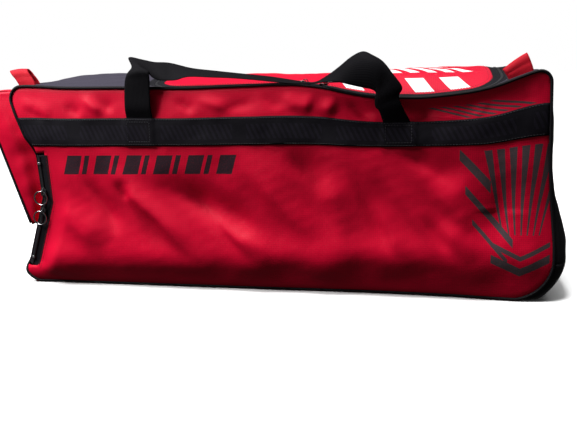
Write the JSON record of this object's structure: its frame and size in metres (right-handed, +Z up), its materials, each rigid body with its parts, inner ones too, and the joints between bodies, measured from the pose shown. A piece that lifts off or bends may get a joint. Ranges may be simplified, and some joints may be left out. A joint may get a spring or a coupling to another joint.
{
  "type": "hockey equipment bag",
  "caption": "Soft red boxed hockey equipment bag with a zipped lid, end compartment, end pocket, webbing bands, handles and grab tabs.",
  "frame": {"origin": "on the floor under the middle of the bag's box", "axes": "+X to the bag's right end, -Y to the front with the webbing handle over the top, +Z up"},
  "size_m": [1.0309, 0.4152, 0.4097],
  "materials": {
    "red_fabric": "coated ripstop polyester, satin",
    "lid_fabric": "coated ripstop polyester with a white print, satin",
    "black_fabric": "heavy coated polyester, satin",
    "charcoal_fabric": "coated polyester, satin",
    "lining": "plain woven lining, matt",
    "board": "sheet plastic, matt",
    "piping": "covered welt, satin",
    "zip_tape": "woven tape with a plastic coil",
    "zip_metal": "plated steel",
    "slider_metal": "black lacquered zinc",
    "chrome_ring": "bright plated wire",
    "webbing": "woven polyester webbing",
    "tab_fabric": "woven red tape"
  },
  "bodies": {
    "bag": {"front_panel": "red_fabric", "back_panel": "red_fabric", "left_end_panel": "red_fabric", "right_end_panel": "black_fabric", "base_panel": "black_fabric", "base_board": "board", "divider_panel": "lining", "top_left_panel": "charcoal_fabric", "top_right_panel": "charcoal_fabric", "top_front_strip": "charcoal_fabric", "top_back_strip": "charcoal_fabric", "front_piping": "piping", "back_piping": "piping", "pocket_front_gusset": "red_fabric", "pocket_back_gusset": "red_fabric", "pocket_top_gusset": "red_fabric", "pocket_upper_face": "red_fabric", "pocket_lower_face": "red_fabric", "pocket_piping": "piping", "pocket_upper_tape": "zip_tape", "pocket_lower_tape": "zip_tape", "lid_frame_tape": "zip_tape", "lid_zip_stops": "zip_metal", "end_front_tape": "zip_tape", "end_side_tape": "zip_tape", "end_zip_stops": "zip_metal", "front_band": "webbing", "back_band": "webbing", "front_handle_ends": "webbing", "back_handle_ends": "webbing", "left_tab": "tab_fabric", "right_tab": "tab_fabric"},
    "lid": {"lid_panel": "lid_fabric", "lid_tape": "zip_tape"},
    "pocket_slider": {"pocket_slider": "slider_metal"},
    "pocket_pull": {"pocket_pull": "slider_metal"},
    "lid_left_slider": {"lid_left_slider": "slider_metal"},
    "lid_right_slider": {"lid_right_slider": "slider_metal"},
    "lid_left_pull": {"lid_left_pull": "slider_metal"},
    "lid_right_pull": {"lid_right_pull": "slider_metal"},
    "upper_slider": {"upper_slider": "slider_metal"},
    "lower_slider": {"lower_slider": "slider_metal"},
    "upper_ring": {"upper_ring": "chrome_ring"},
    "lower_ring": {"lower_ring": "chrome_ring"},
    "front_handle": {"front_handle": "webbing"},
    "back_handle": {"back_handle": "webbing"}
  },
  "joints": [
    {"name": "lid_hinge", "type": "hinge", "parent": "bag", "child": "lid", "pos_m": [0, 0.165, 0.3695], "axis": [-1, 0, 0], "range_deg": [0, 170]},
    {"name": "lid_left_slide", "type": "slide", "parent": "lid", "child": "lid_left_slider", "axis": [1, 0, 0], "range_m": [-0.22, 0]},
    {"name": "lid_right_slide", "type": "slide", "parent": "lid", "child": "lid_right_slider", "axis": [1, 0, 0], "range_m": [0, 0.23]},
    {"name": "lid_left_pull_swing", "type": "hinge", "parent": "lid_left_slider", "child": "lid_left_pull", "pos_m": [0.098, -0.168, 0.3724], "axis": [0, 1, 0], "range_deg": [0, 140]},
    {"name": "lid_right_pull_swing", "type": "hinge", "parent": "lid_right_slider", "child": "lid_right_pull", "pos_m": [0.13, -0.168, 0.3724], "axis": [0, 1, 0], "range_deg": [-140, 0]},
    {"name": "upper_slide", "type": "slide", "parent": "bag", "child": "upper_slider", "axis": [-0.0256, 0, 0.9997], "range_m": [0, 0.04]},
    {"name": "lower_slide", "type": "slide", "parent": "bag", "child": "lower_slider", "axis": [-0.3404, 0, -0.9403], "range_m": [0, 0.08]},
    {"name": "upper_ring_swing", "type": "hinge", "parent": "upper_slider", "child": "upper_ring", "pos_m": [-0.39696, -0.2044, 0.178], "axis": [0.9063, 0, -0.4226], "range_deg": [-150, 0]},
    {"name": "lower_ring_swing", "type": "hinge", "parent": "lower_slider", "child": "lower_ring", "pos_m": [-0.40374, -0.2044, 0.14], "axis": [0.9063, 0, -0.4226], "range_deg": [-150, 0]},
    {"name": "pocket_slide", "type": "slide", "parent": "bag", "child": "pocket_slider", "axis": [0, 1, 0], "range_m": [0, 0.26]},
    {"name": "pocket_pull_swing", "type": "hinge", "parent": "pocket_slider", "child": "pocket_pull", "pos_m": [-0.50001, -0.13, 0.27911], "axis": [0, 1, 0], "range_deg": [0, 120]},
    {"name": "front_handle_swing", "type": "hinge", "parent": "bag", "child": "front_handle", "pos_m": [0, -0.2056, 0.314], "axis": [1, 0, 0], "range_deg": [0, 165]},
    {"name": "back_handle_swing", "type": "hinge", "parent": "bag", "child": "back_handle", "pos_m": [0, 0.2067, 0.314], "axis": [-1, 0, 0], "range_deg": [-165, 0]}
  ]
}
